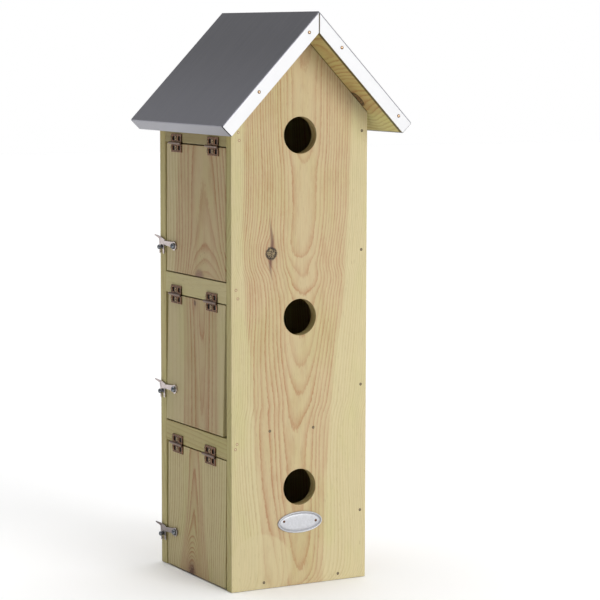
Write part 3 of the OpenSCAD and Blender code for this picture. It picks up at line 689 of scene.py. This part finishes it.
def nail_metal():
    """Nail heads in their holes: bright near the board's left edge, dull and rusty elsewhere."""
    g = Graph("nail_heads")
    own = g.place()
    dull = g.smooth(own[0], *BRIGHT_NAILS_END)
    speck = g.noise(g.stretched(own, RUST_LENGTHS), detail=2.0)
    hole = g.mix(dull, RUST_PALE, RUST)
    head = g.mix(dull, NAIL_BRIGHT, NAIL)
    g.set("Base Color", g.mix(g.times(attribute(g, "wear"), g.smooth(speck, *RUST_STEP)), hole, head))
    g.set("Metallic", 0.3)
    g.set("Roughness", g.scaled(speck, 0.2, 0.4))
    return g.material


def roof_metal():
    """Dull rolled sheet with faint rolling marks; the strips folded down at the ends are painted light, a
    brighter copy of the same sheet, the slopes are painted darker towards the ridge, and there is painted
    shade beside the eave corners.
    """
    g = Graph("rolled_sheet")
    own = g.place()
    rolled = g.noise(g.stretched(own, ROLL_LENGTHS), detail=4.0, roughness=0.65)
    strip = attribute(g, "strip")
    colour = g.mix(g.smooth(own[2], *ROOF_SHADING), ROOF_LOW, ROOF_HIGH)
    # Painted light: the folded strips get a brighter colour, less metal and more roughness, a lit copy of the
    # same sheet.
    colour = g.mix(g.math("MAXIMUM", strip, 0.0), colour, ROOF_STRIP_LIT)
    colour = g.mix(g.smooth(rolled, *ROLL_STEP), colour, ROLL_MARK)
    # Painted shade in the band beside each open eave corner.
    colour = g.mix(g.math("LESS_THAN", strip, -0.5), colour, CORNER_SHADE)
    g.set("Base Color", colour)
    g.set("Metallic", g.smooth(strip, 0.0, 1.0, 0.9, 0.25))
    g.set("Roughness", g.scaled(rolled, 0.04, g.smooth(strip, 0.0, 1.0, 0.36, 0.55)))
    g.bump(rolled, 0.05, 0.05 * MM)
    return g.material


# Meshes

NAIL_STEPS = 20
PIN_STEPS = 28
SCREW_STEPS = 36
DOME_STEPS = 6
WIDE_HEAD = 1.6 * MM
SCREW_TURN = 0.9

# Heads in outline: share of the radius, and drop below the top
FLAT_HEAD = ((0, 0.04), (0.34, 0.05), (0.5, 0.10), (0.62, 0.24), (0.80, 0.28), (1, 0.20))
HOLLOW_HEAD = ((0, 0.34), (0.34, 0.32), (0.46, 0.10), (0.62, 0), (0.80, 0.06), (0.94, 0.22), (1, 0.40))
PAN_HEAD = ((0, 0), (0.35, 0.02), (0.62, 0.10), (0.82, 0.26), (0.94, 0.50), (1, 0.78), (0.98, 0.95))

# Rounded edges: the radius, and the shortest edge that gets it
BOARD_EDGE = (0.45 * MM, 0.7 * MM)
HINGE_EDGE = (0.16 * MM, 0.45 * MM)
LATCH_EDGE = (0.22 * MM, 0.3 * MM)
HANGER_EDGE = (0.3 * MM, 0.25 * MM)


def cad_copy(node):
    """A clean copy of a node's mesh, with each flat area as one face."""
    bm = bmesh.new()
    bm.from_mesh(frame["nodes"][node].data)
    bmesh.ops.remove_doubles(bm, verts=bm.verts, dist=WELD)
    bmesh.ops.dissolve_limit(bm, angle_limit=FLAT, verts=bm.verts, edges=bm.edges)
    return bm


def ease_edges(bm, size, wear=False):
    """Round every sharp edge, and mark the rounded faces as worn if asked."""
    radius, shortest = size
    layer = bm.faces.layers.float.new("wear") if wear else None
    corners = [e for e in bm.edges if e.is_manifold and e.calc_face_angle() > CREASE]
    sharp = [e for e in corners if e.calc_length() > shortest]
    made = bmesh.ops.bevel(bm, geom=sharp, offset=radius, offset_type="OFFSET", segments=2, profile=0.5,
                           affect="EDGES", clamp_overlap=False)
    if wear:
        for face in made["faces"]:
            face[layer] = 1.0


def add_piece(bm, name, material, node):
    """Make an object of the mesh, which stands for the CAD node and rides where it does."""
    mesh = bpy.data.meshes.new(name)
    bmesh.ops.recalc_face_normals(bm, faces=bm.faces)
    bm.to_mesh(mesh)
    bm.free()
    mesh.shade_smooth()
    mesh.set_sharp_from_angle(angle=CREASE)
    mesh.materials.append(material)
    piece = bpy.data.objects.new(name, mesh)
    bpy.context.collection.objects.link(piece)
    normals = piece.modifiers.new("even normals", "WEIGHTED_NORMAL")
    normals.keep_sharp = True
    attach(piece, BODY_OF[node])
    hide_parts(node)
    return piece


def islands(node):
    """The corner points of each separate solid of a node, in the same order each run."""
    bm = cad_copy(node)
    waiting = set(bm.verts)
    found = []
    while waiting:
        ends = [waiting.pop()]
        points = []
        while ends:
            vertex = ends.pop()
            points.append(vertex.co.copy())
            linked = {e.other_vert(vertex) for e in vertex.link_edges} & waiting
            waiting -= linked
            ends += linked
        found.append(sorted(points, key=tuple))
    bm.free()
    found.sort(key=lambda points: tuple(round(value, 5) for value in points[0]))
    return found


class Fastener:
    """Where a nail, pin or screw stands: the top of its head, its direction outwards, and its sizes."""

    def __init__(self, points):
        cloud = numpy.array(points, float)
        middle = cloud.mean(axis=0)
        axis = numpy.linalg.svd(cloud - middle)[2][0]
        along = (cloud - middle) @ axis
        away = numpy.linalg.norm((cloud - middle) - numpy.outer(along, axis), axis=1)
        low, high = along.min(), along.max()
        foot = away[along < low + HAIR].max()
        crown = away[along > high - HAIR].max()
        if foot > crown:
            axis, along, low, high = -axis, -along, -high, -low
        self.length = high - low
        self.head = away.max()
        self.shank = min(foot, crown)
        self.out = Vector(axis)
        self.top = Vector(middle + axis * high)
        self.head_height = high - along[away > self.head - HAIR].min()


def lathe(bm, profile, at, out, steps, crown=(0.0, 0.0)):
    """Turn a list of (radius, height) points about the line through at along out.

    Faces on top between the two radii of crown are marked as worn; on the domed pins the mark is also a
    painted highlight.
    """
    layer = bm.faces.layers.float.get("wear") or bm.faces.layers.float.new("wear")
    turn = out.to_track_quat("Z", "Y").to_matrix()
    rows = []
    for radius, height in profile:
        if radius < WELD:
            rows.append([bm.verts.new(at + out * height)])
            continue
        row = []
        for step in range(steps):
            angle = 2 * math.pi * step / steps
            spoke = turn @ Vector((math.cos(angle), math.sin(angle), 0))
            row.append(bm.verts.new(at + spoke * radius + out * height))
        rows.append(row)
    widest = max(radius for radius, height in profile)
    under = False
    for number, (first, second) in enumerate(zip(rows, rows[1:])):
        under = under or profile[number][0] >= widest
        middle = (profile[number][0] + profile[number + 1][0]) / 2
        rubbed = float(crown[0] < middle < crown[1] and not under)
        for step in range(steps):
            after = (step + 1) % steps
            corners = [first[step % len(first)], first[after % len(first)],
                       second[after % len(second)], second[step % len(second)]]
            corners = list(dict.fromkeys(corners))
            if len(corners) > 2:
                bm.faces.new(corners)[layer] = rubbed


def shank_profile(spot, taper):
    """Lower part of every fastener: the underside of its head, the shank and its tip."""
    tip = -spot.length
    return [(spot.head, -spot.head_height), (spot.shank, -spot.head_height),
            (spot.shank, tip + taper), (spot.shank * 0.35, tip), (0, tip)]


def head_profile(outline, radius, drop):
    return [(share * radius, -depth * drop) for share, depth in outline]


def domed(spot):
    dome = []
    for step in range(DOME_STEPS + 1):
        angle = math.radians(90 * step / DOME_STEPS)
        dome.append((spot.head * math.sin(angle), -spot.head_height * 0.75 * (1 - math.cos(angle))))
    return dome + shank_profile(spot, 0.6 * MM)


def flat_nail(spot):
    """A small bright nail head in the rusty ring of its hole."""
    return head_profile(FLAT_HEAD, spot.head, MM) + shank_profile(spot, 2.5 * MM)


def cupped(spot):
    """A wide head is hollow, a raised ring about a small dimple; a narrow one is domed."""
    if spot.head < WIDE_HEAD:
        return domed(spot)
    return head_profile(HOLLOW_HEAD, spot.head, MM) + shank_profile(spot, 1.5 * MM)


def pan_screw(spot):
    """A pan head with a rounded rim."""
    return head_profile(PAN_HEAD, spot.head, spot.head_height) + shank_profile(spot, 1.5 * MM)


def fasteners(node, shape, material, crown=(0.0, 0.0), steps=PIN_STEPS):
    """Turn every fastener of a node from one profile; crown is the worn ring in shares of the radius, on the
    domed pins also a painted highlight.
    """
    bm = bmesh.new()
    for points in islands(node):
        spot = Fastener(points)
        ring = tuple(share * spot.head for share in crown)
        lathe(bm, shape(spot), spot.top, spot.out, steps, ring)
    add_piece(bm, f"{node}_heads", material, node)


def cross_cutter(spot, tilt):
    """A tapered cross, deep in the middle, that cuts a screw's recess."""
    bm = bmesh.new()
    half_l = spot.head * 0.56
    half_w = spot.head * 0.14
    deep = spot.head_height * 0.62
    square = ((-1, -1), (1, -1), (1, 1), (-1, 1))
    turn = spot.out.to_track_quat("Z", "Y").to_matrix() @ Matrix.Rotation(tilt, 3, "Z")
    for quarter in (0, math.pi / 2):
        twist = turn @ Matrix.Rotation(quarter, 3, "Z")
        top = [(x * half_l, y * half_w, 0.3 * MM) for x, y in square]
        foot = [(x * half_l * 0.5, y * half_w * 0.8, -deep) for x, y in square]
        upper = [bm.verts.new(spot.top + twist @ Vector(point)) for point in top]
        lower = [bm.verts.new(spot.top + twist @ Vector(point)) for point in foot]
        bm.faces.new(upper)
        bm.faces.new(lower[::-1])
        for i in range(4):
            j = (i + 1) % 4
            bm.faces.new((upper[j], upper[i], lower[i], lower[j]))
    return bm


def mesh_object(bm, name):
    bmesh.ops.recalc_face_normals(bm, faces=bm.faces)
    mesh = bpy.data.meshes.new(name)
    bm.to_mesh(mesh)
    bm.free()
    made = bpy.data.objects.new(name, mesh)
    bpy.context.collection.objects.link(made)
    return made


def subtracted(base, cutter):
    """The mesh of base less cutter, as a bmesh; both objects go."""
    cut = base.modifiers.new("cut", "BOOLEAN")
    cut.operation = "DIFFERENCE"
    cut.solver = "EXACT"
    cut.use_self = True
    cut.object = cutter
    bpy.context.view_layer.update()
    depsgraph = bpy.context.evaluated_depsgraph_get()
    mesh = bpy.data.meshes.new_from_object(base.evaluated_get(depsgraph))
    bm = bmesh.new()
    bm.from_mesh(mesh)
    bpy.data.objects.remove(base)
    bpy.data.objects.remove(cutter)
    bpy.data.meshes.remove(mesh)
    return bm


def cross_screws(node, material, tilt):
    """Pan head screws with a cross recess, each turned a little differently."""
    whole = bmesh.new()
    for number, points in enumerate(islands(node)):
        spot = Fastener(points)
        head = bmesh.new()
        lathe(head, pan_screw(spot), spot.top, spot.out, SCREW_STEPS)
        base = mesh_object(head, "screw")
        cutter = mesh_object(cross_cutter(spot, tilt + number * SCREW_TURN), "cutter")
        part = subtracted(base, cutter)
        mesh = bpy.data.meshes.new("part")
        part.to_mesh(mesh)
        part.free()
        whole.from_mesh(mesh)
        bpy.data.meshes.remove(mesh)
    add_piece(whole, f"{node}_turned", material, node)


# Pieces

ROOF_PITCH = 46
FOLD_RADIUS = 1.2 * MM
FOLD_STEPS = 6
# Painted light on the faces of each fold, rising to the bright strip.
FOLD_LIGHT = (0.0, 0.0, 0.0, 0.05, 0.15, 0.35, 1.0)
EAVE_LIGHT = (0.0,) * FOLD_STEPS + (0.12,)
PLAIN = (0.0,)
CORNER_SHADE_MARK = (-1.0,)
MITRE_GAP = 0.6 * MM
CORNER_GAP = 0.45 * MM
CORNER_SHADE_WIDTH = 1.2 * MM
WIDE_FACE = 300 * MM * MM
SEAM_WELD = 0.02 * MM
NAIL_RING = (0.41, 0.8)
PIN_WORN_AND_HIGHLIGHT = (0.0, 0.4)
NAIL_CROWN = (0.0, 0.55)

# Section of the oval plate: how far in from its edge, and the share of its full thickness
PLATE_RIM = ((0.0, 0.0), (0.0, 0.5), (0.08, 0.78), (0.28, 0.95), (0.6, 1.0), (0.95, 0.98), (1.25, 0.84))
PLATE_GROOVE = ((1.5, 0.54), (1.7, 0.30), (1.95, 0.22), (2.25, 0.34), (2.6, 0.48))
PLATE_FIELD = ((3.2, 0.54), (4.4, 0.55), (6.0, 0.56))
PLATE_STEPS = 120


def boards():
    """Each board with eased edges and its own grain."""
    for node, grain in GRAIN.items():
        bm = cad_copy(node)
        ease_edges(bm, BOARD_EDGE)
        add_piece(bm, f"{node}_planed", pine(f"pine_{node}", **grain), node)


def sheet_strip(bm, layer, rows, marks):
    """Join rows of two points each into one strip of faces, and mark each face's painted light: up to 1 on
    the bright strips, and below zero for painted shade beside an eave corner.
    """
    verts = [[bm.verts.new(point) for point in row] for row in rows]
    for number, (first, second) in enumerate(zip(verts, verts[1:])):
        face = bm.faces.new((first[0], first[1], second[1], second[0]))
        face[layer] = marks[min(number, len(marks) - 1)]


def fold_section(rise):
    """Points of a rounded fold, each as its distance in from the outside and its height."""
    bend = []
    for step in range(FOLD_STEPS + 1):
        angle = math.pi / 2 * step / FOLD_STEPS
        inset = FOLD_RADIUS * (1 - math.sin(angle))
        bend.append((inset, rise - FOLD_RADIUS * (1 - math.cos(angle))))
    bend.append((0.0, 0.0))
    return bend


def folded_side(bm, layer, side, size):
    """One slope of the sheet with the strips folded down from it at the front, the eave and the back."""
    pitch, run, rise, front, back = size
    radius = FOLD_RADIUS
    down = Vector((side * math.cos(pitch), 0, -math.sin(pitch)))
    outward = Vector((side * math.sin(pitch), 0, math.cos(pitch)))
    apex = Vector((0, 0, frame_apex()))
    bend = fold_section(rise)

    def spot(along, height, y):
        point = apex + down * along + outward * height
        return Vector((point.x, y, point.z))

    def ridge(height):
        gap = MITRE_GAP if height < rise - radius * 0.5 else 0.0
        return (gap - height * math.sin(pitch)) / math.cos(pitch)

    def slope_row(along):
        return spot(along, rise, front + radius), spot(along, rise, back - radius)

    def end_row(inset, height, y):
        return spot(ridge(height), height, y), spot(run - inset - CORNER_GAP, height, y)

    def eave_row(inset, height, first, last):
        return spot(run - inset, height, first), spot(run - inset, height, last)

    split = front + CORNER_GAP + CORNER_SHADE_WIDTH
    sheet_strip(bm, layer, [slope_row(ridge(rise)), slope_row(run - radius)], PLAIN)
    sheet_strip(bm, layer, [end_row(a, n, front + a) for a, n in bend], FOLD_LIGHT)
    sheet_strip(bm, layer, [end_row(a, n, back - a) for a, n in bend], FOLD_LIGHT)
    # The first band of the eave strip, beside the open corner, carries painted shade.
    sheet_strip(bm, layer, [eave_row(a, n, front + a + CORNER_GAP, split) for a, n in bend], CORNER_SHADE_MARK)
    sheet_strip(bm, layer, [eave_row(a, n, split, back - a - CORNER_GAP) for a, n in bend], EAVE_LIGHT)


def frame_apex():
    """Height where the undersides of the two roof boards meet."""
    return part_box("front_panel")[1].z


def roof():
    """The folded sheet: two slopes with rounded folds, slit at the ridge and open at the eave corners."""
    low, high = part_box("roof_sheet")
    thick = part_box("left_roof_board")[0].y - low.y
    pitch = math.radians(ROOF_PITCH)
    rise = (high.z - frame_apex()) * math.cos(pitch)
    run = (frame_apex() - low.z) / math.sin(pitch)
    bm = bmesh.new()
    layer = bm.faces.layers.float.new("strip")
    for side in (-1, 1):
        folded_side(bm, layer, side, (pitch, run, rise, low.y, high.y))
    bmesh.ops.remove_doubles(bm, verts=bm.verts, dist=SEAM_WELD)
    piece = add_piece(bm, "roof_sheet_folded", roof_metal(), "roof_sheet")
    for face in piece.data.polygons:
        face.use_smooth = face.area < WIDE_FACE
    shell = piece.modifiers.new("thickness", "SOLIDIFY")
    shell.thickness = thick
    shell.offset = -1
    shell.use_even_offset = True
    piece.modifiers.move(1, 0)


def hinges(bronze, brass):
    for storey in STOREYS:
        for node in (f"{storey}_frame_leaves", f"{storey}_door_leaves", f"{storey}_hinge_pins"):
            bm = cad_copy(node)
            ease_edges(bm, HINGE_EDGE, wear=True)
            add_piece(bm, f"{node}_pressed", bronze, node)
        fasteners(f"{storey}_door_leaf_nails", cupped, brass, crown=NAIL_RING)
    fasteners("frame_leaf_nails", cupped, brass, crown=NAIL_RING)


def sink_face(bm):
    """Move a washer's outer face in by a hair, so that the arm turns over it without touching."""
    outer = min(v.co.x for v in bm.verts)
    for v in bm.verts:
        if v.co.x < outer + WELD:
            v.co.x += HAIR


def latches(zinc, shaded_zinc, screw):
    for number, storey in enumerate(STOREYS):
        # The bottom latch gets the darker copy of the zinc: painted shade.
        plating = shaded_zinc if storey == "bottom" else zinc
        for node in (f"{storey}_latch", f"{storey}_washer"):
            bm = cad_copy(node)
            if node.endswith("washer"):
                sink_face(bm)
            ease_edges(bm, LATCH_EDGE, wear=True)
            add_piece(bm, f"{node}_stamped", plating, node)
        cross_screws(f"{storey}_pivot_screw", screw, 0.4 + number)
    cross_screws("catch_screws", screw, 0.2)


def oval_row(bm, centre, half_w, half_h, out):
    """One oval of points about the plate's middle, out from its back."""
    row = []
    for step in range(PLATE_STEPS):
        angle = 2 * math.pi * step / PLATE_STEPS
        row.append(bm.verts.new(centre + Vector((half_w * math.cos(angle), -out, half_h * math.sin(angle)))))
    return row


def oval_plate(material):
    """Cast oval plate: a rounded rim, a fine groove inside it and a bare field."""
    low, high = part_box("oval_plate")
    centre = (low + high) / 2
    centre.y = high.y
    half_w, half_h, thick = (high.x - low.x) / 2, (high.z - low.z) / 2, high.y - low.y
    bm = bmesh.new()
    rows = [oval_row(bm, centre, half_w - inset * MM, half_h - inset * MM, thick * rise)
            for inset, rise in PLATE_RIM + PLATE_GROOVE + PLATE_FIELD]
    for first, second in zip(rows, rows[1:]):
        for step in range(PLATE_STEPS):
            after = (step + 1) % PLATE_STEPS
            bm.faces.new((first[step], first[after], second[after], second[step]))
    bm.faces.new(rows[-1])
    bm.faces.new(rows[0][::-1])
    add_piece(bm, "oval_plate_cast", material, "oval_plate")


def hanger(material):
    bm = cad_copy("wall_hanger")
    ease_edges(bm, HANGER_EDGE, wear=True)
    add_piece(bm, "wall_hanger_bent", material, "wall_hanger")


# Stage

# The camera, fitted to the straight edges and the holes in the photo
EYE = (-0.9579, -1.8105, 0.4780)
AZIMUTH = -28.834
ELEVATION = 6.482
ROLL = 0.12
LENS = 138.0
SENSOR = 36

FLOOR_LENGTHS = (900,) * 3
FLOOR_WIDTH = 14
FLOOR_DROP = 0.3 * MM
HORIZON = (0.03, 0.20, 1.0, 0.36)
LEFT_SIDE = (-0.9, -0.1, 0.6, 1.0)


def floor():
    g = Graph("pale_floor")
    cloud = g.noise(g.stretched(g.place(), FLOOR_LENGTHS), detail=2.0)
    g.set("Base Color", g.mix(g.smooth(cloud, 0.3, 0.7), FLOOR_DARK, FLOOR_LIGHT))
    g.set("Roughness", 0.8)
    g.set("Specular IOR Level", 0.1)
    bpy.ops.mesh.primitive_plane_add(size=FLOOR_WIDTH, location=(0, 0, -FLOOR_DROP))
    plane = bpy.context.object
    plane.name = "floor"
    plane.data.materials.append(g.material)


def soft_step(tree, value, numbers):
    """A soft step in the sky: where it starts and ends, and the brightness before and after."""
    node = tree.nodes.new("ShaderNodeMapRange")
    node.interpolation_type = "SMOOTHSTEP"
    tree.links.new(value, node.inputs["Value"])
    for name, number in zip(("From Min", "From Max", "To Min", "To Max"), numbers):
        node.inputs[name].default_value = number
    return node.outputs[0]


def sky():
    """White at the horizon and below, dimmer above and to the left, as in a studio with a pale sweep."""
    world = bpy.data.worlds.new("studio")
    bpy.context.scene.world = world
    world.use_nodes = True
    tree = world.node_tree
    background = tree.nodes["Background"]
    split = tree.nodes.new("ShaderNodeSeparateXYZ")
    tree.links.new(tree.nodes.new("ShaderNodeTexCoord").outputs["Generated"], split.inputs[0])
    both = tree.nodes.new("ShaderNodeMath")
    both.operation = "MULTIPLY"
    tree.links.new(soft_step(tree, split.outputs["Z"], HORIZON), both.inputs[0])
    tree.links.new(soft_step(tree, split.outputs["X"], LEFT_SIDE), both.inputs[1])
    tree.links.new(both.outputs[0], background.inputs["Strength"])
    background.inputs["Color"].default_value = (1.0, 1.0, 1.0, 1)


def sun(name, towards, strength, spread):
    """Even light from one direction; spread is the angle that it comes from, in degrees."""
    data = bpy.data.lights.new(name, "SUN")
    data.energy = strength
    data.angle = math.radians(spread)
    light = bpy.data.objects.new(name, data)
    light.rotation_euler = (-Vector(towards)).to_track_quat("-Z", "Y").to_euler()
    light.location = Vector(towards).normalized() * 2
    bpy.context.collection.objects.link(light)


def lights():
    sun("key", (0.25, -0.93, 0.26), 1.95, 34)
    sun("top", (0.05, 0.1, 1.0), 2.1, 60)
    sun("fill", (-0.8, 0.55, 0.08), 0.08, 50)


def camera():
    data = bpy.data.cameras.new("camera")
    data.sensor_width = SENSOR
    data.lens = LENS
    eye = bpy.data.objects.new("camera", data)
    eye.location = EYE
    aim = Euler((math.radians(90 - ELEVATION), 0, math.radians(AZIMUTH))).to_matrix()
    eye.rotation_euler = (aim @ Matrix.Rotation(math.radians(ROLL), 3, "Z")).to_euler()
    bpy.context.collection.objects.link(eye)
    bpy.context.scene.camera = eye


def fittings():
    """Hinges, latches, pins, nails, the plate and the hanger."""
    bronze = metal("aged_bronze", BRONZE, 0.40, worn=BRONZE_WORN, patch=2.0, spread=0.2, hide=PATINA)
    brass = metal("pale_brass", BRASS, 0.36, worn=BRASS_WORN, patch=1.5, spread=0.2)
    hinges(bronze, brass)
    zinc = metal("bright_zinc", ZINC, 0.3, worn=ZINC_WORN, patch=4.0, spread=0.05)
    # A darker copy of the same zinc, painted shade for the bottom latch.
    shaded_zinc = metal("shaded_zinc", ZINC_SHADED, 0.3, worn=ZINC_SHADED_WORN, patch=4.0, spread=0.1)
    screw = metal("dark_screw", SCREW, 0.3, patch=1.5, spread=0.2)
    latches(zinc, shaded_zinc, screw)
    copper = metal("copper_heads", COPPER, 0.35, worn=COPPER_WORN_AND_HIGHLIGHT, patch=1.5, spread=0.15)
    # The lighter crown of the domed pins is partly wear and partly a painted highlight.
    fasteners("roof_pins", domed, copper, crown=PIN_WORN_AND_HIGHLIGHT)
    fasteners("plate_pins", domed, metal("dark_pin", DARK_PIN, 0.4, patch=1.5, spread=0.15))
    nail = nail_metal()
    for node in ("front_nails", "back_nails", "side_nails", "roof_board_nails"):
        fasteners(node, flat_nail, nail, crown=NAIL_CROWN, steps=NAIL_STEPS)
    oval_plate(metal("cast_plate", PLATE, 0.45, patch=1.6, spread=0.04, dent=0.3, metallic=0.6))
    galvanised = metal("galvanised", GALVANISED, 0.4, worn=GALVANISED_WORN, patch=5.0, spread=0.14)
    hanger(galvanised)
    cross_screws("hanger_screws", galvanised, 0.3)


def main():
    camera()
    sky()
    lights()
    floor()
    boards()
    roof()
    fittings()


main()
bpy.context.scene.view_settings.view_transform = "Standard"
bpy.context.view_layer.update()
